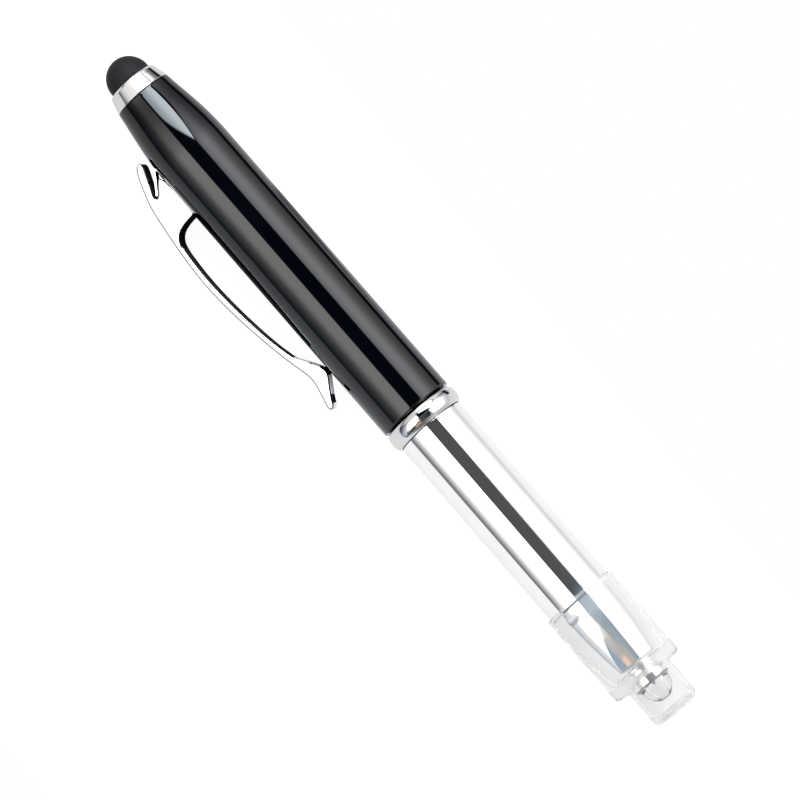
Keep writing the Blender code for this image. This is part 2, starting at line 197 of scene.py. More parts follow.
def evened(outline, step=0.25, passes=4):
    """The same closed outline with even steps and its sharp corners eased."""
    n = len(outline)
    walk = [0.0]
    for i in range(n):
        walk.append(walk[-1] + (outline[(i + 1) % n] - outline[i]).length)
    count = int(walk[-1] / step)
    pts, i = [], 0
    for k in range(count):
        s = walk[-1] * k / count
        while walk[i + 1] < s:
            i += 1
        pts.append(outline[i].lerp(outline[(i + 1) % n], (s - walk[i]) / max(walk[i + 1] - walk[i], 1e-9)))
    for _ in range(passes):
        pts = [(pts[k - 1] + pts[k] * 2 + pts[(k + 1) % count]) / 4 for k in range(count)]
    return pts


def plate(name, outline, half, bevel, cuts=(), segments=5):
    """A plate of metal with that outline, its edges rounded, less the cutters."""
    n = len(outline)
    turn_way = sum(outline[i].x * outline[(i + 1) % n].y - outline[(i + 1) % n].x * outline[i].y for i in range(n))
    inwards = []
    for i in range(n):
        a = (outline[i] - outline[i - 1]).normalized()
        b = (outline[(i + 1) % n] - outline[i]).normalized()
        m = Vector((-a.y - b.y, a.x + b.x)) * (1 if turn_way > 0 else -1)
        m.normalize()
        inwards.append(m / max(0.6, m.dot(Vector((-a.y, a.x)) * (1 if turn_way > 0 else -1))))
    levels = [(bevel * (1 - math.sin(q)), bevel * (1 - math.cos(q))) for q in [math.pi / 2 * k / segments for k in range(segments + 1)]]
    bm = bmesh.new()
    rings = []
    for side in (-1, 1):
        for inset, deep in (levels if side < 0 else reversed(levels)):
            ring = []
            for p, m in zip(outline, inwards):
                q = p + m * inset
                ring.append(bm.verts.new(on_clip(q.x, q.y, side * (half(q.x) - deep))))
            rings.append(ring)
        if side < 0:
            for k in range(1, 8):
                rings.append([bm.verts.new(on_clip(p.x, p.y, (half(p.x) - bevel) * (k / 4 - 1))) for p in outline])
    bm.faces.new(rings[0])
    bm.faces.new(list(reversed(rings[-1])))
    for a, b in zip(rings, rings[1:]):
        for i in range(n):
            j = (i + 1) % n
            bm.faces.new((a[j], a[i], b[i], b[j]))
    bmesh.ops.recalc_face_normals(bm, faces=bm.faces)
    me = bpy.data.meshes.new(name)
    bm.to_mesh(me)
    bm.free()
    ob = bpy.data.objects.new(name, me)
    bpy.context.scene.collection.objects.link(ob)
    helpers = []
    for c in cuts:
        cm = bpy.data.meshes.new(name + "_cut")
        c.to_mesh(cm)
        c.free()
        co = bpy.data.objects.new(name + "_cut", cm)
        bpy.context.scene.collection.objects.link(co)
        helpers.append(co)
        mod = ob.modifiers.new("cut", "BOOLEAN")
        mod.operation = "DIFFERENCE"
        mod.object = co
    bpy.context.view_layer.update()
    dg = bpy.context.evaluated_depsgraph_get()
    done = bpy.data.meshes.new_from_object(ob.evaluated_get(dg))
    ob.modifiers.clear()
    ob.data = done
    done.name = name
    for h in helpers:
        bpy.data.objects.remove(h)
    across = Vector((0, TS, -TC))
    if cuts:
        # the cut can leave a sliver thinner than a thousandth of a millimetre
        bm = bmesh.new()
        bm.from_mesh(done)
        bmesh.ops.remove_doubles(bm, verts=bm.verts, dist=0.002 * MM)
        bm.to_mesh(done)
        bm.free()
    done.shade_smooth()
    done.set_sharp_from_angle(angle=math.radians(42))
    for f in done.polygons:
        if abs(f.normal.dot(across)) > 0.995 and f.area > 1.5e-6:
            f.use_smooth = False
    return ob


# ---------------------------------------------------------------- material helpers
class Look:
    """One surface: a shader whose colour, gloss and relief come from its own grain."""

    def __init__(self, name):
        self.mat = bpy.data.materials.new(name)
        self.mat.use_nodes = True
        self.t = self.mat.node_tree
        self.t.nodes.clear()
        self.out = self.t.nodes.new("ShaderNodeOutputMaterial")
        self.bsdf = self.t.nodes.new("ShaderNodeBsdfPrincipled")
        self.t.links.new(self.bsdf.outputs[0], self.out.inputs[0])
        self.co = self.t.nodes.new("ShaderNodeTexCoord").outputs["Object"]

    def set(self, **values):
        for k, v in values.items():
            self.bsdf.inputs[k.replace("_", " ")].default_value = v
        return self

    def noise(self, size_mm, detail=3.0, rough=0.55, stretch=(1, 1, 1), kind="noise"):
        m = self.t.nodes.new("ShaderNodeMapping")
        self.t.links.new(self.co, m.inputs["Vector"])
        k = 1000.0 / size_mm
        m.inputs["Scale"].default_value = (k / stretch[0], k / stretch[1], k / stretch[2])
        if kind == "voronoi":
            n = self.t.nodes.new("ShaderNodeTexVoronoi")
            n.inputs["Scale"].default_value = 1.0
            self.t.links.new(m.outputs[0], n.inputs["Vector"])
            return n.outputs["Distance"]
        n = self.t.nodes.new("ShaderNodeTexNoise")
        n.inputs["Scale"].default_value = 1.0
        n.inputs["Detail"].default_value = detail
        n.inputs["Roughness"].default_value = rough
        self.t.links.new(m.outputs[0], n.inputs["Vector"])
        return n.outputs["Fac"]

    def along(self, source, stops):
        r = self.t.nodes.new("ShaderNodeValToRGB")
        while len(r.color_ramp.elements) > 1:
            r.color_ramp.elements.remove(r.color_ramp.elements[-1])
        for i, (p, c) in enumerate(stops):
            e = r.color_ramp.elements[0] if i == 0 else r.color_ramp.elements.new(p)
            e.position = p
            e.color = (*c, 1.0)
        self.t.links.new(source, r.inputs[0])
        return r.outputs[0]

    def colour(self, source, lo, hi, a=0.35, b=0.65):
        self.t.links.new(self.along(source, [(a, lo), (b, hi)]), self.bsdf.inputs["Base Color"])
        return self

    def ranged(self, source, lo, hi, socket, a=0.3, b=0.7):
        m = self.t.nodes.new("ShaderNodeMapRange")
        m.inputs["From Min"].default_value = a
        m.inputs["From Max"].default_value = b
        m.inputs["To Min"].default_value = lo
        m.inputs["To Max"].default_value = hi
        self.t.links.new(source, m.inputs[0])
        self.t.links.new(m.outputs[0], self.bsdf.inputs[socket])
        return self

    def gloss(self, source, lo, hi):
        return self.ranged(source, lo, hi, "Roughness")

    def relief(self, source, strength, height_mm):
        b = self.t.nodes.new("ShaderNodeBump")
        b.inputs["Strength"].default_value = strength
        b.inputs["Distance"].default_value = height_mm * MM
        self.t.links.new(source, b.inputs["Height"])
        self.t.links.new(b.outputs[0], self.bsdf.inputs["Normal"])
        return self


def chrome(name, lo=(0.90, 0.905, 0.915), hi=(0.945, 0.945, 0.95), rough=(0.010, 0.035)):
    s = Look(name).set(Metallic=1.0)
    s.colour(s.noise(9.0, 2), lo, hi)
    s.gloss(s.noise(2.2, 4, stretch=(6, 1, 1)), *rough)
    s.relief(s.noise(0.9, 2, stretch=(9, 1, 1)), 0.008, 0.02)
    return s.mat


# painted shade: a near-black gloss that stands in for the dark reflection of the shade below, on faces that turn
# towards the barrel
def painted_shade_look(name, lo=(0.0050, 0.0050, 0.0056), hi=(0.0100, 0.0100, 0.0110)):
    s = Look(name).set(Metallic=0.0, IOR=1.45)
    s.bsdf.inputs["Specular IOR Level"].default_value = 0.0
    s.colour(s.noise(2.0, 3), lo, hi)
    s.gloss(s.noise(0.8, 3), 0.30, 0.45)
    s.relief(s.noise(0.4, 2), 0.05, 0.02)
    return s.mat


def steel(name, lo=(0.52, 0.53, 0.55), hi=(0.68, 0.69, 0.71), grain=(1, 8, 8)):
    s = Look(name).set(Metallic=1.0)
    s.colour(s.noise(1.6, 4, stretch=grain), lo, hi)
    s.gloss(s.noise(0.5, 3, stretch=grain), 0.18, 0.34)
    s.relief(s.noise(0.25, 2, stretch=grain), 0.10, 0.02)
    return s.mat


def brass(name, lo=(0.62, 0.43, 0.16), hi=(0.80, 0.60, 0.28)):
    s = Look(name).set(Metallic=1.0)
    s.colour(s.noise(2.5, 4), lo, hi)
    s.gloss(s.noise(0.6, 3, stretch=(1, 6, 6)), 0.16, 0.32)
    s.relief(s.noise(0.3, 2, stretch=(1, 7, 7)), 0.10, 0.02)
    return s.mat


def plastic(name, lo, hi, rough=(0.32, 0.46), sub=0.0):
    s = Look(name).set(Metallic=0.0, IOR=1.48)
    s.colour(s.noise(3.0, 3), lo, hi)
    s.gloss(s.noise(0.7, 3), *rough)
    s.relief(s.noise(0.22, 2), 0.12, 0.02)
    return s.mat


def lacquer(name):
    s = Look(name).set(Metallic=0.0, IOR=1.5)
    s.colour(s.noise(14.0, 3), (0.0003, 0.0004, 0.0012), (0.0009, 0.0010, 0.0022))
    s.gloss(s.noise(6.0, 3, stretch=(5, 1, 1)), 0.014, 0.030)
    s.relief(s.noise(5.0, 2, stretch=(4, 1, 1)), 0.012, 0.03)
    return s.mat


def rubber(name):
    s = Look(name).set(Metallic=0.0, IOR=1.40)
    s.bsdf.inputs["Specular IOR Level"].default_value = 0.28
    s.colour(s.noise(0.35, 4, 0.7), (0.0050, 0.0050, 0.0062), (0.0105, 0.0105, 0.0125), 0.3, 0.72)
    s.gloss(s.noise(0.5, 3), 0.50, 0.66)
    s.relief(s.noise(0.16, 3, 0.7), 0.35, 0.03)
    return s.mat


def clear(name):
    s = Look(name).set(Metallic=0.0, IOR=1.36)
    s.bsdf.inputs["Transmission Weight"].default_value = 1.0
    s.colour(s.noise(6.0, 2), (0.90, 0.905, 0.91), (0.95, 0.953, 0.955))
    s.gloss(s.noise(2.0, 3), 0.0, 0.03)
    s.relief(s.noise(2.5, 2), 0.02, 0.03)
    return s.mat


def milky(name):
    s = Look(name).set(Metallic=0.0, IOR=1.15)
    s.bsdf.inputs["Transmission Weight"].default_value = 0.93
    s.colour(s.noise(5.0, 3), (0.954, 0.947, 0.944), (0.971, 0.965, 0.962))
    # frosted where the wide part steps down to the tip, clearer elsewhere
    x = s.t.nodes.new("ShaderNodeSeparateXYZ")
    s.t.links.new(s.co, x.inputs[0])
    m = s.t.nodes.new("ShaderNodeMapRange")
    m.inputs["From Min"].default_value = (54.0 + X0) * MM
    m.inputs["From Max"].default_value = (68.0 + X0) * MM
    s.t.links.new(x.outputs["X"], m.inputs[0])
    frost = s.along(m.outputs[0], [(0.0, (0.03,) * 3), (0.19, (0.04,) * 3), (0.24, (0.34,) * 3), (0.37, (0.34,) * 3), (0.43, (0.05,) * 3), (0.72, (0.06,) * 3), (0.80, (0.30,) * 3), (1.0, (0.30,) * 3)])
    grain = s.t.nodes.new("ShaderNodeMix")
    grain.data_type = "FLOAT"
    grain.inputs[0].default_value = 0.25
    s.t.links.new(frost, grain.inputs[2])
    g = s.t.nodes.new("ShaderNodeMath")
    g.operation = "MULTIPLY"
    s.t.links.new(s.noise(3.0, 3), g.inputs[0])
    s.t.links.new(frost, g.inputs[1])
    s.t.links.new(g.outputs[0], grain.inputs[3])
    s.t.links.new(grain.outputs[0], s.bsdf.inputs["Roughness"])
    s.relief(s.noise(1.6, 3), 0.008, 0.03)
    return s.mat


# ---------------------------------------------------------------- the fine pieces
def piece(ob, body, node, look):
    if not len(ob.data.materials):
        ob.data.materials.append(look)
    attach(ob, body)
    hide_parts(node)
    return ob


def toned(ob, looks, rule):
    """Several materials on one piece, here for painted shade, painted reflection and painted highlight: the rule takes
    a face's u, r, l, its normal along the pen, its normal towards the axis on the clip's plane, its normal across the
    clip and its w, and gives the number of the material."""
    ob.data.materials.clear()
    for look in looks:
        ob.data.materials.append(look)
    for f in ob.data.polygons:
        c, n = f.center / MM, f.normal
        y, z = c.y - AXIS_Y, c.z - AXIS_Z
        f.material_index = rule(c.x - X0, math.hypot(y, z), -y * TC - z * TS, n.x, n.y * TC + n.z * TS, n.z * TC - n.y * TS, y * TS - z * TC)
    return ob


CHROME = chrome("chrome_plate")
CHROME_TUBE = chrome("chrome_plate_tube")
CLIP_CHROME = chrome("chrome_plate_clip")
# painted reflection: a grey matte outline on the clip's rounded rims, standing in for the darker reflection there
CLIP_PAINTED_OUTLINE = plastic("painted_outline_edge", (0.30, 0.30, 0.305), (0.36, 0.36, 0.365), (0.55, 0.65))
# painted highlight: a pale matte white on the pad's slab, standing in for the bright reflection there
PAINTED_HIGHLIGHT_PAD = plastic("painted_highlight_pad", (0.93, 0.945, 0.96), (0.965, 0.97, 0.98), (0.35, 0.5))
CHROME_BEAD = chrome("chrome_plate_bead", (0.66, 0.665, 0.675), (0.72, 0.725, 0.735))
# painted reflection: a dark warm chrome for two patches on the collar's bead, standing in for the dark orange core of
# its reflection
BEAD_PAINTED_REFLECTION = chrome("painted_reflection_bead", (0.27, 0.23, 0.20), (0.33, 0.28, 0.245), (0.03, 0.07))
# painted shade: a dark chrome for parts of the seam's chamfer and of the light's bezel, standing in for the dark
# reflections there
CHROME_PAINTED_SHADE = chrome("painted_shade_chrome", (0.25, 0.265, 0.285), (0.30, 0.315, 0.335))
SEAM = plastic("seam_shadow", (0.76, 0.76, 0.77), (0.84, 0.84, 0.85), (0.45, 0.55))
CHROME_RING = chrome("chrome_plate_ring", (0.84, 0.845, 0.855), (0.90, 0.90, 0.91))
# painted shade for the clip's and the leaf's faces that turn towards the barrel
PAINTED_SHADE_UNDER = painted_shade_look("painted_shade_underside")
PAINTED_SHADE_SIDE = painted_shade_look("painted_shade_side", (0.020, 0.020, 0.021), (0.034, 0.034, 0.036))
GROOVE = chrome("groove_shadow", (0.05, 0.05, 0.055), (0.10, 0.10, 0.105), (0.3, 0.45))
LACQUER = lacquer("black_lacquer")
RUBBER = rubber("stylus_rubber")
LENS = clear("lens_acrylic")
MILKY = milky("milky_plastic")
STEEL = steel("bright_steel")
SPRING = steel("spring_steel", (0.50, 0.51, 0.52), (0.70, 0.71, 0.72), (2, 2, 2))
CELL = steel("nickel_can", (0.60, 0.60, 0.60), (0.74, 0.74, 0.75), (8, 8, 1))
BRASS = brass("turned_brass")
NIB = brass("nickel_silver", (0.62, 0.59, 0.52), (0.78, 0.75, 0.68))
CARBIDE = steel("carbide", (0.28, 0.29, 0.31), (0.42, 0.43, 0.45), (1, 1, 1))
WHITE = plastic("white_acetal", (0.74, 0.74, 0.71), (0.86, 0.86, 0.83))
BLACK = plastic("black_acetal", (0.014, 0.014, 0.015), (0.028, 0.028, 0.030))
BOARD = plastic("white_board", (0.80, 0.80, 0.76), (0.90, 0.90, 0.87))
CHIP = plastic("yellow_phosphor", (0.88, 0.66, 0.10), (0.98, 0.86, 0.30), (0.25, 0.4))
SEAL = plastic("black_rubber_ring", (0.016, 0.016, 0.018), (0.032, 0.032, 0.034), (0.5, 0.65))

# stylus: a rubber dome in a chrome ferrule
dome = [(-73.9 - 4.1 * math.sin(math.radians(a)), 3.95 * math.cos(math.radians(a))) for a in range(0, 91, 3)]
dome[-1] = (-78.0, 0.0)
inner = [(-73.7 - 3.1 * math.sin(math.radians(a)), 3.05 * math.cos(math.radians(a))) for a in range(90, -1, -6)]
inner[0] = (-76.8, 0.0)
tip = [(-78.0, 0.0)] + [p for p in reversed(dome[:-1])] + [(-73.55, 3.95), (-73.45, 3.5), (-71.4, 3.5), (-71.4, 3.05)] + [p for p in reversed(inner[:-1])] + [(-76.8, 0.0)]
piece(turned("stylus_dome", tip, plain=True), "tail", "stylus_tip", RUBBER)
piece(turned("stylus_ring", [
    (-70.0, 3.6), (-73.45, 3.6, 0.1), (-73.45, 4.12, 0.1), (-73.3, 4.42, 0.25), (-72.9, 4.68, 0.4), (-72.2, 4.85, 0.8),
    (-70.36, 5.31, 0.05), (-70.36, 3.95), (-65.6, 3.95), (-65.6, 2.6), (-70.0, 2.6)]),
    "tail", "stylus_ferrule", CHROME_RING)


# barrel: a lacquered tube that narrows towards the stylus
R_BARREL = 6.76


def barrel_radius(u):
    t = min(max((u + 70.32) / 13.5, 0.0), 1.0)
    return 5.32 + (R_BARREL - 5.32) * math.sin(t * math.pi / 2) ** 1.15


END = 0.2
skin = [(-70.32, 4.6), (-70.32, 5.24), (-70.28, 5.30), (-70.18, barrel_radius(-70.18))]
u = -69.9
while u < -56.8:
    skin.append((u, barrel_radius(u)))
    u += 0.3
skin += [(u, R_BARREL) for u in (-56.5, -54, -50, -45, -40, -35, -30, -25, -20, -15, -10, -5, -2, END - 0.7, END - 0.32)]
skin += [(END - 0.2 + 0.2 * math.sin(math.radians(a)), R_BARREL - 0.2 + 0.2 * math.cos(math.radians(a))) for a in range(0, 91, 15)]
skin += [(END, 5.6), (END - 0.3, 5.6), (-62.0, 5.6), (-65.5, 4.6)]
piece(turned("barrel_shell", skin, plain=True, seg=192), "upper", "upper_barrel", LACQUER)

# clip: a lever of bright metal with a press finger at one end and a sprung toe at the other
outer = [(-62.15, 7.95), (-61.7, 8.75), (-60.3, 9.55), (-58.6, 10.2), (-56.9, 10.8), (-55.3, 11.3), (-53.4, 11.65),
         (-50.0, 12.15), (-44.9, 12.73), (-41.5, 12.98), (-38.9, 13.04), (-36.4, 12.98), (-32.2, 12.7), (-28.0, 12.2),
         (-23.7, 11.55), (-19.5, 10.75), (-16.9, 10.15), (-15.2, 9.9), (-12.3, 10.45), (-9.75, 11.1)]
lip = [(-9.75, 11.1), (-9.3, 10.9), (-9.2, 10.45), (-9.4, 10.0), (-10.95, 9.1)]
pad = [(-10.95, 9.1), (-12.65, 8.0), (-13.85, 7.19), (-14.85, 6.86), (-15.95, 7.19), (-17.15, 7.85), (-18.55, 8.75), (-19.95, 9.7)]
under = [(-19.95, 9.7), (-23.7, 10.55), (-28.0, 11.2), (-32.2, 11.65), (-36.4, 11.93), (-39.8, 12.0), (-43.2, 11.87),
         (-46.1, 11.6), (-47.45, 11.2), (-48.45, 10.3), (-49.0, 8.7), (-49.25, 6.2)]
foot = [(-49.25, 6.2), (-55.6, 6.2), (-56.6, 6.45), (-58.0, 6.97)]
notch = [(-58.0, 6.97), (-57.2, 7.75), (-55.7, 9.0), (-55.35, 9.4), (-55.6, 9.85), (-58.2, 8.85), (-60.9, 7.75),
         (-61.6, 7.57), (-62.15, 7.95)]
outline = evened(spline(outer) + spline(lip) + spline(pad) + spline(under) + spline(foot, 1.5) + spline(notch))


def clip_half(u):
    return 2.27 - 0.88 * (u + 62.0) / 52.0


channel = extruded([Vector(p) for p in (
    (-58.8, 6.2), (-50.5, 6.2), (-50.2, 10.6), (-54.4, 10.35), (-54.9, 9.0), (-58.8, 9.0))], lambda u: 1.5)
saddle = bmesh.new()
rims = [[saddle.verts.new(on_axis(u, R_BARREL + gap, 2 * math.pi * k / 160)) for k in range(160)] for u, gap in ((-61.0, 0.70), (-56.0, 0.03), (-47.0, 0.03))]
saddle.faces.new(rims[0])
saddle.faces.new(list(reversed(rims[2])))
for a, b in zip(rims, rims[1:]):
    for k in range(160):
        saddle.faces.new((a[k], b[k], b[(k + 1) % 160], a[(k + 1) % 160]))
bmesh.ops.recalc_face_normals(saddle, faces=saddle.faces)
arm = plate("clip_arm", outline, clip_half, 0.36, [channel, saddle])


# which faces of the clip take painted light: 1 and 4 painted shade on faces that turn towards the barrel, 2 a painted
# grey outline on the rims, 3 a painted highlight on the pad's slab, 0 plain chrome
def arm_tone(u, r, l, nx, inward, near, w):
    rim = 0.05 < near < 0.995
    if inward < -0.06 or (nx < -0.5 and u < -61.0) or u > -9.9:
        return 2 if rim else 0
    if u > -20.2:
        if inward < 0.15:
            return 0
        if u < -16.0 or -13.9 < u < -11.2:
            return 1 if 0.5 < near < 0.95 and u > -17.8 else 3
        return 1
    if -50.0 < u < -46.0 and l < 11.7:
        return 1 if nx > 0.25 or inward > 0.35 else 0
    if r < R_BARREL + 0.12:
        return 0
    return 4 if inward > 0.35 and near < 0.40 else 0


piece(toned(arm, (CLIP_CHROME, PAINTED_SHADE_UNDER, CLIP_PAINTED_OUTLINE, PAINTED_HIGHLIGHT_PAD, PAINTED_SHADE_SIDE), arm_tone), "clip", "clip_lever", CLIP_CHROME)

# the leaf spring, with painted shade on its faces that turn towards the barrel
leaf = spline([(-59.8, 5.45), (-59.7, 7.05)], 0.5) + spline([(-59.7, 7.05), (-58.6, 7.72), (-56.12, 9.50)], 0.4) \
    + [Vector((-56.12, 9.50))] + spline([(-55.87, 9.21), (-58.3, 7.4), (-59.2, 6.85)], 0.4) + [Vector((-59.2, 6.85)), Vector((-59.3, 5.45))]
piece(toned(plate("clip_leaf", leaf, lambda u: 1.15, 0.05), (CLIP_CHROME, PAINTED_SHADE_UNDER), lambda u, r, l, nx, inward, near, w: int(inward > 0.35)),
      "upper", "clip_leaf_spring", SPRING)
bracket = [Vector(p) for p in ((-60.3, 4.65), (-60.3, 5.3), (-57.3, 5.3), (-57.3, 8.0), (-56.0, 8.6), (-53.2, 8.7), (-52.5, 8.1),
                               (-52.5, 5.3), (-50.6, 5.3), (-50.6, 4.65))]
piece(plate("clip_block", bracket, lambda u: 1.2, 0.15), "upper", "clip_bracket", STEEL)

# collar: a bright bead between the two halves of the barrel
bead = [(0.45, 4.8), (0.45, 6.02)]
for k in range(-20, 21):
    x = math.sin(math.pi / 2 * k / 20)
    bead.append((2.12 + 1.67 * x, 6.1 + 0.88 * max(0.0, 1 - abs(x) ** 2.15) ** 0.52))
bead += [(3.79, 6.02), (3.79, 4.8)]
bead_ring = turned("collar_bead", bead, plain=True, seg=192)


# painted shade on the bead's end faces (1, groove_shadow) and a painted reflection on two patches of its side (2)
def bead_tone(u, r, l, nx, inward, near, w):
    if r < 6.15 and abs(nx) > 0.8:
        return 1
    return 2 if near > 0 and ((1.2 < u < 3.1 and -2.75 < l < -0.45) or (2.62 < u < 3.1 and 0.9 < l < 2.9)) else 0


piece(toned(bead_ring, (CHROME_BEAD, GROOVE, BEAD_PAINTED_REFLECTION), bead_tone), "lower", "collar_ring", CHROME_BEAD)

# lower barrel, nose, light
lower_tube = turned("chrome_tube", [
    (-11.0, 3.85), (-11.0, 4.65, 0.1), (3.9, 4.65), (3.9, 6.2, 0.05), (42.28, 6.2), (42.50, 6.03), (42.50, 5.3), (6.5, 5.3), (5.2, 3.85)], seg=192)


# painted shade along the seam's chamfers, by the side of the pen: darkest (3), dark (1, groove_shadow) and light grey
# (2, seam_shadow)
def seam_tone(l):
    return 3 if -2.4 < l < -0.2 else 1 if -0.2 <= l < 2.8 else 2


# painted shade on the tube's shoulder inside the collar (1) and on the seam's chamfer
def tube_tone(u, r, l, nx, inward, near, w):
    if u < 4.0 and r > 4.6 and abs(nx) > 0.8:
        return 1
    if u > 42.25 and r > 5.8 and nx > 0.3:
        return seam_tone(l)
    return 0


piece(toned(lower_tube, (CHROME_TUBE, GROOVE, SEAM, CHROME_PAINTED_SHADE), tube_tone), "lower", "lower_barrel", CHROME_TUBE)
nose = [(42.55, 5.15), (42.55, 6.07), (42.66, 6.17)]
k = 42.8
while k < 45.71:
    nose.append((k, 6.17 - 1.55 * (max(k - 44.5, 0.0) / 12.15) ** 1.9))
    k += 0.1
while k < 56.66:
    nose.append((k, 6.17 - 1.55 * ((k - 44.5) / 12.15) ** 1.9))
    k += 0.4
nose += [(56.85, 4.35, 0.1), (56.9, 3.45, 0.1), (57.6, 3.45, 0.1), (57.6, 2.35), (55.9, 2.35), (55.9, 3.0), (52.0, 3.0), (48.5, 4.4),
         (37.5, 4.4), (37.5, 5.15)]
shell = turned("nose_shell", nose, seg=288)
# a shallow dimple that the cap snaps into
spot = math.radians(90.0 + 13.0 + 31.0)
for v in shell.data.vertices:
    y, z = v.co.y / MM - AXIS_Y, v.co.z / MM - AXIS_Z
    r = math.hypot(y, z)
    if r > 5.9:
        away = (math.atan2(z, y) - spot + math.pi) % (2 * math.pi) - math.pi
        d2 = ((v.co.x / MM - X0 - 44.3) / 0.9) ** 2 + (away * r / 1.45) ** 2
        if d2 < 1.0:
            k = 1 - 0.13 * (1 - d2) ** 1.5 / r
            v.co.y, v.co.z = (AXIS_Y + y * k) * MM, (AXIS_Z + z * k) * MM
# painted shade on the nose's chamfer at the seam, as on the tube
piece(toned(shell, (CHROME_TUBE, GROOVE, SEAM, CHROME_PAINTED_SHADE), lambda u, r, l, nx, inward, near, w: seam_tone(l) if u < 42.68 and r > 5.8 and nx < -0.3 else 0), "lower", "nose_cone", CHROME_TUBE)
# painted shade on the bezel's front edge and a patch of its side, standing in for the dark core of its reflection
piece(toned(turned("light_rim", [
    (57.75, 2.35), (57.75, 2.9), (58.2, 2.9), (58.2, 3.25, 0.1), (58.5, 3.45, 0.15), (60.3, 3.45, 0.25), (60.7, 3.15, 0.1),
    (60.7, 2.92), (58.7, 2.92), (58.7, 2.35)]), (CHROME, CHROME_PAINTED_SHADE), lambda u, r, l, nx, inward, near, w: int((u > 60.2 and nx > 0.3) or (u > 59.3 and -1.55 < l < -0.05 and near > 0))),
      "lower", "led_bezel", CHROME)
lens = [(55.0, 1.5), (55.0, 2.2), (58.85, 2.2), (58.85, 2.8)]
lens += [(60.75 + 3.35 * math.sin(math.radians(a)), 2.8 * math.cos(math.radians(a))) for a in range(0, 70, 4)]
lens += [(63.88, 1.0), (62.9, 1.02), (61.9, 1.4)]
piece(turned("light_dome", lens, plain=True), "lower", "light_lens", LENS)

# cap: milky plastic over the nose and the light
piece(turned("cap_shell", [
    (41.7, 6.34), (41.7, 6.74, 0.12), (58.9, 6.78, 0.35), (59.2, 6.3, 0.15), (59.2, 4.55, 0.2), (66.0, 4.42, 0.5), (66.8, 3.9, 0.5),
    (66.8, 0.0), (66.0, 0.0), (66.0, 3.2, 0.5), (65.3, 3.7, 0.4), (57.9, 3.78, 0.3), (57.2, 4.3, 0.3), (57.0, 5.0, 0.25),
    (50.2, 6.10, 1.2), (46.0, 6.34, 1.2)], seg=192), "cap", "tip_cap", MILKY)

# writing point
piece(turned("nib_cone", [
    (46.25, 0.0), (46.25, 1.4, 0.1), (47.1, 1.15, 0.1), (56.8, 1.15, 0.3), (57.8, 0.85, 0.2), (60.5, 0.42, 0.05), (60.5, 0.34),
    (60.2, 0.0)], seg=64, step=1.0, guard=0.05), "refill", "refill_nib", NIB)


# springs: round wire with closed end coils
def wound(name, u0, u1, r0, r1, wire, turns, node, look):
    bm = bmesh.new()
    steps = int(turns * 28)
    rings = []
    for i in range(steps + 1):
        f = i / steps
        g = min(max((f * turns - 0.8) / (turns - 1.6), 0.0), 1.0)
        near_end = min(f * turns, 0.8) * 2.1 * wire
        far_end = max(f * turns - turns + 0.8, 0.0) * 2.1 * wire
        span = u1 - u0 - 2 * wire - 2 * 0.8 * 2.1 * wire
        u = u0 + wire + near_end + span * g + far_end
        r = r0 + (r1 - r0) * f
        rings.append([bm.verts.new(on_axis(u + wire * math.sin(q), r + wire * math.cos(q), 2 * math.pi * turns * f))
                      for q in [2 * math.pi * k / 10 for k in range(10)]])
    for p, q in zip(rings, rings[1:]):
        for k in range(10):
            m = (k + 1) % 10
            bm.faces.new((p[k], q[k], q[m], p[m]))
    bm.faces.new(rings[0])
    bm.faces.new(list(reversed(rings[-1])))
    ob = finish_mesh(name, bm)
    ob.data.materials.append(look)
    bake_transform(ob)
    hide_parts(node)


wound("refill_coil", 42.2, 53.4, 1.95, 1.95, 0.19, 8, "refill_spring", SPRING)
wound("contact_coil", -34.4, -24.7, 1.6, 2.2, 0.19, 6, "contact_spring", BRASS)

# ---------------------------------------------------------------- pieces kept as they are
KEEP = {
    "stylus_core": STEEL, "tail_bush": BRASS, "battery_sleeve": WHITE, "button_cell_1": CELL, "button_cell_2": CELL,
    "button_cell_3": CELL, "contact_plate": BRASS, "battery_spring": SPRING, "clip_pin": STEEL, "twist_cam": WHITE,
    "bearing_bush": BLACK, "guide_sleeve": STEEL, "friction_ring": SEAL, "led_board": BOARD, "led_chip_1": CHIP,
    "led_chip_2": CHIP, "refill_carrier": BLACK, "carrier_pin": STEEL, "refill_tube": STEEL,
    "refill_collar": BRASS, "nib_ball": CARBIDE,
}
for n, look in KEEP.items():
    slots = NODES[n].material_slots
    if len(slots):
        for s in slots:
            s.material = look
    else:
        NODES[n].data.materials.append(look)

# ---------------------------------------------------------------- floor, light, camera
# a white sheet, a little wider than the pen is long, lit from within as well as from above
fm = Look("pale_floor").set(Metallic=0.0, Roughness=0.9)
fm.colour(fm.noise(60.0, 3), (0.10, 0.10, 0.10), (0.115, 0.115, 0.115))
fx = fm.t.nodes.new("ShaderNodeSeparateXYZ")
fm.t.links.new(fm.co, fx.inputs[0])
fr = fm.t.nodes.new("ShaderNodeMapRange")
fr.inputs["From Min"].default_value = -0.10
fr.inputs["From Max"].default_value = 0.10
fm.t.links.new(fx.outputs["X"], fr.inputs[0])
# painted shade: as other surfaces see it, the sheet is painted darker towards the stylus end and bluer beside the black
# half of the barrel
painted_falloff = fm.along(fr.outputs[0], [(0.0, (0.50,) * 3), (0.16, (0.56,) * 3), (0.20, (0.58, 0.60, 0.63)), (0.24, (0.65, 0.67, 0.71)), (0.45, (0.71, 0.735, 0.785)),
                                 (0.50, (0.73, 0.755, 0.80)), (0.525, (0.78,) * 3), (0.56, (0.80,) * 3), (0.85, (0.80,) * 3), (1.0, (0.78,) * 3)])
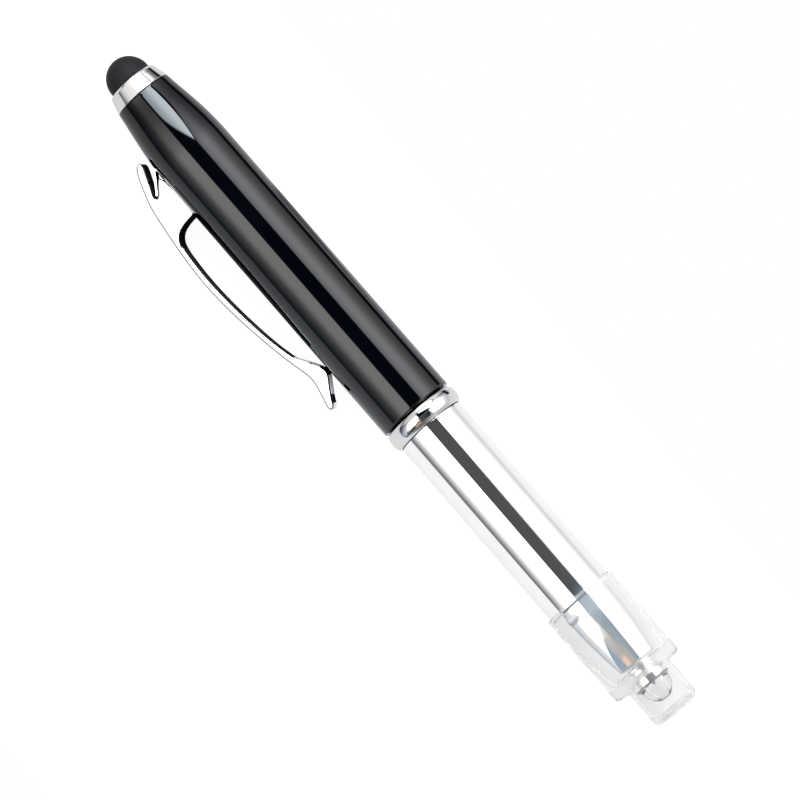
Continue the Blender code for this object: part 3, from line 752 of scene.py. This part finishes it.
# painted shade: the sheet is painted near black in the clip's shade beside the barrel, as other surfaces see it
def fm_band(source, a, b, c, d):
    out = []
    for lo, hi in ((a, b), (d, c)):
        m = fm.t.nodes.new("ShaderNodeMapRange")
        m.inputs["From Min"].default_value = lo * MM
        m.inputs["From Max"].default_value = hi * MM
        fm.t.links.new(source, m.inputs[0])
        out.append(m.outputs[0])
    m = fm.t.nodes.new("ShaderNodeMath")
    m.operation = "MULTIPLY"
    fm.t.links.new(out[0], m.inputs[0])
    fm.t.links.new(out[1], m.inputs[1])
    return m.outputs[0]


shade = fm.t.nodes.new("ShaderNodeMath")
shade.operation = "MULTIPLY"
fm.t.links.new(fm_band(fx.outputs["X"], X0 - 62.5, X0 - 60.5, X0 - 14.5, X0 - 12.5), shade.inputs[0])
fm.t.links.new(fm_band(fx.outputs["Y"], AXIS_Y - 12.5, AXIS_Y - 11.5, AXIS_Y - 3.0, AXIS_Y - 2.0), shade.inputs[1])
shaded = fm.t.nodes.new("ShaderNodeMix")
shaded.data_type = "RGBA"
shaded.inputs[7].default_value = (0.01, 0.01, 0.012, 1.0)
fm.t.links.new(shade.outputs[0], shaded.inputs[0])
fm.t.links.new(painted_falloff, shaded.inputs[6])
# painted shade: a soft dark patch beyond a slanted line is painted across it on the far side, as other surfaces see it
def fm_math(op, a, b):
    m = fm.t.nodes.new("ShaderNodeMath")
    m.operation = op
    for i, x in enumerate((a, b)):
        if isinstance(x, (int, float)):
            m.inputs[i].default_value = x
        else:
            fm.t.links.new(x, m.inputs[i])
    return m.outputs[0]


lean = fm_math("SUBTRACT", fm_math("SUBTRACT", fx.outputs["Y"], (AXIS_Y + 6.0) * MM), fm_math("MULTIPLY", fm_math("ADD", fx.outputs["X"], 38.0 * MM), 0.92))
painted_wedge = fm.t.nodes.new("ShaderNodeMapRange")
painted_wedge.inputs["From Min"].default_value = -2.0 * MM
painted_wedge.inputs["From Max"].default_value = 2.0 * MM
fm.t.links.new(lean, painted_wedge.inputs[0])
starts = fm.t.nodes.new("ShaderNodeMapRange")
starts.inputs["From Min"].default_value = -41.5 * MM
starts.inputs["From Max"].default_value = -39.0 * MM
fm.t.links.new(fx.outputs["X"], starts.inputs[0])
painted_wedge_mix = fm.t.nodes.new("ShaderNodeMix")
painted_wedge_mix.data_type = "RGBA"
painted_wedge_mix.inputs[7].default_value = (0.20, 0.20, 0.215, 1.0)
fm.t.links.new(fm_math("MULTIPLY", painted_wedge.outputs[0], starts.outputs[0]), painted_wedge_mix.inputs[0])
fm.t.links.new(shaded.outputs[2], painted_wedge_mix.inputs[6])
# the camera sees the sheet plain white, other rays see the painted shade
fp = fm.t.nodes.new("ShaderNodeLightPath")
fs = fm.t.nodes.new("ShaderNodeMix")
fs.data_type = "RGBA"
fs.inputs[7].default_value = (0.95, 0.95, 0.95, 1.0)
fm.t.links.new(fp.outputs["Is Camera Ray"], fs.inputs[0])
fm.t.links.new(painted_wedge_mix.outputs[2], fs.inputs[6])
fm.t.links.new(fs.outputs[2], fm.bsdf.inputs["Emission Color"])
fm.bsdf.inputs["Emission Strength"].default_value = 1.0
fm.bsdf.inputs["Specular IOR Level"].default_value = 0.0
bm = bmesh.new()
bmesh.ops.create_grid(bm, x_segments=16, y_segments=8, size=1.0)
for v in bm.verts:
    v.co.x *= 0.200
    v.co.y = (AXIS_Y + (v.co.y - 1.0) / 2.0 * 119.0 + 30.0) * MM
fmesh = bpy.data.meshes.new("floor")
bm.to_mesh(fmesh)
bm.free()
floor = bpy.data.objects.new("floor", fmesh)
floor.data.materials.append(fm.mat)
bpy.context.scene.collection.objects.link(floor)

BETA = math.radians(13.0)
SKY_UP = (0.0, -math.sin(BETA), math.cos(BETA))
SKY_SIDE = (0.0, math.cos(BETA), math.sin(BETA))
POWER = 14.0

world = bpy.data.worlds.new("studio")
bpy.context.scene.world = world
world.use_nodes = True
wt = world.node_tree
wt.nodes.clear()
w_out = wt.nodes.new("ShaderNodeOutputWorld")
w_bg = wt.nodes.new("ShaderNodeBackground")
w_bg.inputs["Strength"].default_value = POWER
w_dir = wt.nodes.new("ShaderNodeTexCoord").outputs["Generated"]


def w_dot(v):
    n = wt.nodes.new("ShaderNodeVectorMath")
    n.operation = "DOT_PRODUCT"
    wt.links.new(w_dir, n.inputs[0])
    n.inputs[1].default_value = v
    return n.outputs["Value"]


def w_math(op, a, b=0.0):
    n = wt.nodes.new("ShaderNodeMath")
    n.operation = op
    for i, x in enumerate((a, b)):
        if isinstance(x, (int, float)):
            n.inputs[i].default_value = x
        else:
            wt.links.new(x, n.inputs[i])
    return n.outputs[0]


def w_range(source, a, b, smooth=False):
    m = wt.nodes.new("ShaderNodeMapRange")
    if smooth:
        m.interpolation_type = "SMOOTHSTEP"
    m.inputs["From Min"].default_value = a
    m.inputs["From Max"].default_value = b
    wt.links.new(source, m.inputs[0])
    return m.outputs[0]


def w_ramp(source, table, lo, hi):
    """Light along a range: rows of (place, radiance, tint)."""
    r = wt.nodes.new("ShaderNodeValToRGB")
    while len(r.color_ramp.elements) > 1:
        r.color_ramp.elements.remove(r.color_ramp.elements[-1])
    for i, (p, L, tint) in enumerate(table):
        at = (p - lo) / (hi - lo)
        e = r.color_ramp.elements[0] if i == 0 else r.color_ramp.elements.new(at)
        e.position = at
        e.color = (*[L * c / POWER for c in tint], 1.0)
    wt.links.new(w_range(source, lo, hi), r.inputs[0])
    return r.outputs[0]


def w_mix(fac, a, b):
    m = wt.nodes.new("ShaderNodeMix")
    m.data_type = "RGBA"
    wt.links.new(fac, m.inputs[0])
    for i, x in ((6, a), (7, b)):
        if isinstance(x, tuple):
            m.inputs[i].default_value = (*[c / POWER for c in x], 1.0)
        else:
            wt.links.new(x, m.inputs[i])
    return m.outputs[2]


COOL, WARM, GREY = (0.97, 1.0, 1.03), (1.03, 1.0, 0.96), (1.0, 1.0, 1.0)
reach = w_dot((1.0, 0.0, 0.0))
turn = w_math("MULTIPLY", w_math("ARCTAN2", w_dot(SKY_SIDE), w_dot(SKY_UP)), 180.0 / math.pi)
drift = w_math("MULTIPLY", w_math("MINIMUM", w_math("MAXIMUM", w_math("ADD", reach, 0.11), 0.0), 0.05), 87.0)
turn_in = w_math("ADD", turn, drift)

SLATE = (0.88, 1.0, 1.2)


def left(dusk, lift=0.0):
    return [(-180, 0.95, GREY), (-84, 0.95, GREY), (-82.5, 0.24 + lift, dusk), (-76, 0.20 + lift, dusk), (-72.7, 0.32 + lift, dusk),
            (-69, 0.46 + lift, dusk), (-65, 0.62 + lift / 2, dusk), (-60, 0.82, GREY), (-54, 1.25, WARM), (-47, 2.2, WARM), (-41, 3.2, WARM), (-35, 3.7, WARM),
            (-23, 3.8, WARM), (-11, 3.6, WARM)]


LEFT = left(GREY)
LEFT_TIP = left((0.88, 1.0, 1.1), 0.26)
RIGHT = [(30.2, 2.4, COOL), (36, 3.2, COOL), (47, 4.1, COOL), (55, 4.0, COOL), (60, 3.7, COOL), (67, 2.9, COOL), (74, 2.05, COOL),
         (82, 1.45, COOL), (89, 1.03, COOL), (98, 0.78, GREY)]
DARK = [(-9.6, 0.085, COOL), (28.6, 0.085, COOL)]
# above the black half of the barrel the sheet ends in the dark, above the bright half in a grey wall
strips_black = w_ramp(turn_in, left(SLATE) + [(-9.6, 0.02, (0.6, 1.0, 1.9)), (28.6, 0.02, (0.6, 1.0, 1.9))] + RIGHT + [(103, 0.5, GREY), (105, 0.03, GREY), (117, 0.03, GREY), (119, 0.9, GREY), (180, 0.9, GREY)], -180.0, 180.0)
strips_bright = w_ramp(turn_in, LEFT + DARK + RIGHT + [(104, 0.74, GREY), (109, 0.76, GREY), (113, 0.95, GREY), (180, 0.95, GREY)], -180.0, 180.0)
BLUE = (0.70, 0.98, 1.18)
DEEP = (0.46, 1.0, 1.55)
strips_tip = w_ramp(turn_in, LEFT_TIP + [(-9.6, 0.42, BLUE), (10, 0.36, BLUE), (28.6, 0.42, BLUE)] + RIGHT + [
    (104, 0.80, GREY), (113, 0.95, GREY), (180, 0.95, GREY)], -180.0, 180.0)
fade = w_ramp(reach, [(-0.60, 0.2, GREY), (-0.45, 0.25, GREY), (-0.41, 0.36, GREY), (-0.36, 0.52, GREY), (-0.24, 0.72, GREY), (-0.165, 1.0, GREY)], -1.0, 1.0)
dimmed = wt.nodes.new("ShaderNodeMix")
dimmed.data_type = "RGBA"
dimmed.blend_type = "MULTIPLY"
dimmed.inputs[0].default_value = 1.0
wt.links.new(strips_black, dimmed.inputs[6])
scale = wt.nodes.new("ShaderNodeVectorMath")
scale.operation = "SCALE"
scale.inputs["Scale"].default_value = POWER
wt.links.new(fade, scale.inputs[0])
wt.links.new(scale.outputs[0], dimmed.inputs[7])
light = w_mix(w_range(reach, -0.1104, -0.1087), dimmed.outputs[2], strips_bright)
light = w_mix(w_range(reach, -0.0797, -0.0789), light, strips_tip)
strips_deep = w_ramp(turn_in, LEFT_TIP + [(-9.6, 0.22, (1.15, 0.95, 0.9)), (-3, 0.24, (1.2, 0.92, 0.86)), (1, 0.20, DEEP), (6, 0.20, (1.15, 0.98, 0.95)), (11, 0.20, DEEP), (28.6, 0.09, DEEP)] + RIGHT + [
    (104, 0.80, GREY), (113, 0.95, GREY)], -180.0, 180.0)
light = w_mix(w_range(reach, -0.035, 0.11), light, strips_deep)
light = w_mix(w_math("MULTIPLY", w_range(reach, 0.27, 0.36), w_math("MULTIPLY", w_range(turn, -11.0, -8.0), w_range(turn, 7.0, 0.0))), light, (0.36, 0.275, 0.19))

# towards the stylus: a pale blue window between the two soft lights, then a white wall
top_edge = w_math("ADD", w_math("MULTIPLY", w_math("MAXIMUM", w_math("SUBTRACT", -0.185, reach), 0.0), 75.0), 29.0)
over = w_math("SUBTRACT", turn, top_edge)
rim_wide = w_math("ADD", w_math("MULTIPLY", w_math("MAXIMUM", w_math("SUBTRACT", -0.33, reach), 0.0), 60.0), 1.2)
light = w_mix(w_math("MULTIPLY", w_range(turn, 27.6, 28.6), w_range(w_math("SUBTRACT", over, rim_wide), 0.6, -0.6)), light, (0.03, 0.035, 0.05))
window = w_math("ADD", w_math("SUBTRACT", reach, w_math("MULTIPLY", turn, 0.3854 * math.pi / 180.0)), 0.395)
in_window = w_math("MULTIPLY", w_range(window, 0.014, -0.030), w_math("MULTIPLY", w_range(turn, -4.5, -3.0), w_range(over, -1.2, -2.6)))
glass = w_ramp(turn, [(-180, 5.0, (0.80, 0.93, 1.0)), (-4, 6.5, (0.80, 0.93, 1.0)), (12, 9.4, (0.82, 0.93, 1.0)), (26, 13.6, (0.84, 0.94, 1.0)), (45, 13.9, (0.85, 0.94, 1.0)), (180, 13.9, (0.85, 0.94, 1.0))], -180.0, 180.0)
light = w_mix(in_window, light, glass)
wall = w_ramp(turn, [
    (-180, 0.85, GREY), (-106, 0.85, GREY), (-102, 0.22, GREY), (-76, 0.22, GREY), (-71, 0.38, GREY), (-62, 0.62, GREY), (-50, 0.80, GREY),
    (-24, 0.90, GREY), (-10, 1.0, GREY), (-4, 1.6, GREY), (5, 2.0, GREY), (48, 2.0, GREY), (57, 1.9, GREY), (60, 0.40, GREY), (62, 0.40, GREY),
    (66, 1.2, GREY), (84, 1.05, GREY), (97, 0.78, GREY), (111, 0.52, GREY), (125, 0.42, GREY), (140, 0.6, GREY), (180, 0.85, GREY)], -180.0, 180.0)
light = w_mix(w_range(reach, -0.495, -0.53), light, wall)

# towards the tip: the left light is cut off along a slant, with something warm beside the cut
past = w_math("MAXIMUM", w_math("SUBTRACT", reach, 0.055), 0.0)
edge = w_math("SUBTRACT", w_math("MULTIPLY", past, w_math("ADD", w_math("MULTIPLY", past, -330.0), -120.0)), 10.0)
below = w_math("DIVIDE", w_math("ADD", turn, 10.0), w_math("MINIMUM", w_math("ADD", edge, 10.0), -1.0))
in_cut = w_math("MULTIPLY", w_range(turn, -8.5, -10.0), w_math("MULTIPLY", w_range(w_math("SUBTRACT", turn, edge), -1.5, 1.5), w_range(reach, 0.0, 0.05)))
cut_deep = w_ramp(below, [(0.0, 0.30, (1.1, 0.96, 0.9)), (0.08, 0.48, (1.3, 0.94, 0.60)), (0.14, 0.60, (1.36, 0.90, 0.50)), (0.40, 0.58, (1.34, 0.90, 0.52)),
                          (0.50, 0.30, (0.9, 1.0, 1.1)), (0.62, 0.21, DEEP), (1.0, 0.22, DEEP)], 0.0, 1.0)
cut_pale = w_ramp(reach, [(-1.0, 1.1, (1.05, 1.0, 0.92)), (0.04, 1.0, (1.05, 1.0, 0.92)), (0.16, 0.62, (1.05, 1.0, 0.93)), (0.24, 0.38, (1.05, 1.0, 0.95)), (0.31, 0.30, (1.05, 1.0, 0.97)), (1.0, 0.3, GREY)], -1.0, 1.0)
cut_col = w_mix(w_range(reach, 0.345, 0.385, True), cut_pale, cut_deep)
cut_col = w_mix(w_math("MULTIPLY", w_range(turn, -35.0, -42.0), w_range(reach, 0.17, 0.26)), cut_col, (0.11, 0.225, 0.34))
light = w_mix(in_cut, light, cut_col)
end_wall = w_ramp(turn, [(-180, 0.9, GREY), (-90, 0.75, GREY), (-72, 0.6, GREY), (-58, 0.22, GREY), (-8, 0.22, GREY), (22, 0.45, GREY), (42, 0.85, GREY), (100, 0.7, GREY), (180, 0.9, GREY)], -180.0, 180.0)
light = w_mix(w_range(reach, 0.52, 0.60), light, end_wall)
wt.links.new(light, w_bg.inputs["Color"])
w_plain = wt.nodes.new("ShaderNodeBackground")
w_plain.inputs["Color"].default_value = (1.0, 1.0, 1.0, 1.0)
w_plain.inputs["Strength"].default_value = 1.0
w_path = wt.nodes.new("ShaderNodeLightPath")
w_pick = wt.nodes.new("ShaderNodeMixShader")
wt.links.new(w_path.outputs["Is Camera Ray"], w_pick.inputs[0])
wt.links.new(w_bg.outputs[0], w_pick.inputs[1])
wt.links.new(w_plain.outputs[0], w_pick.inputs[2])
wt.links.new(w_pick.outputs[0], w_out.inputs[0])

# camera: above the pen, the pen running from the upper left to the lower right
THETA, PHI = math.radians(6.5), math.radians(-49.0)
DIST, SCALE, SHIFT = 1300.0, 5.9757, (-5.80, -16.05)
back = Vector((math.sin(THETA), -math.cos(THETA) * math.sin(BETA), math.cos(THETA) * math.cos(BETA)))
e1 = (Vector((1, 0, 0)) - back * back.x).normalized()
e2 = back.cross(e1)
right = e1 * math.cos(PHI) - e2 * math.sin(PHI)
up = e1 * math.sin(PHI) + e2 * math.cos(PHI)
aim = Vector((0.0, AXIS_Y, AXIS_Z)) - right * (SHIFT[0] / SCALE) + up * (SHIFT[1] / SCALE)
place = (aim + back * DIST) * MM
cam = bpy.data.cameras.new("camera")
cam.sensor_fit = "AUTO"
cam.sensor_width = 36.0
cam.lens = SCALE * DIST * 36.0 / 800.0
cam.clip_start, cam.clip_end = 0.05, 20.0
eye = bpy.data.objects.new("camera", cam)
eye.matrix_world = Matrix((
    (right.x, up.x, back.x, place.x), (right.y, up.y, back.y, place.y), (right.z, up.z, back.z, place.z), (0, 0, 0, 1)))
bpy.context.scene.collection.objects.link(eye)
bpy.context.scene.camera = eye

view = bpy.context.scene.view_settings
view.view_transform = "Standard"
view.look = "None"
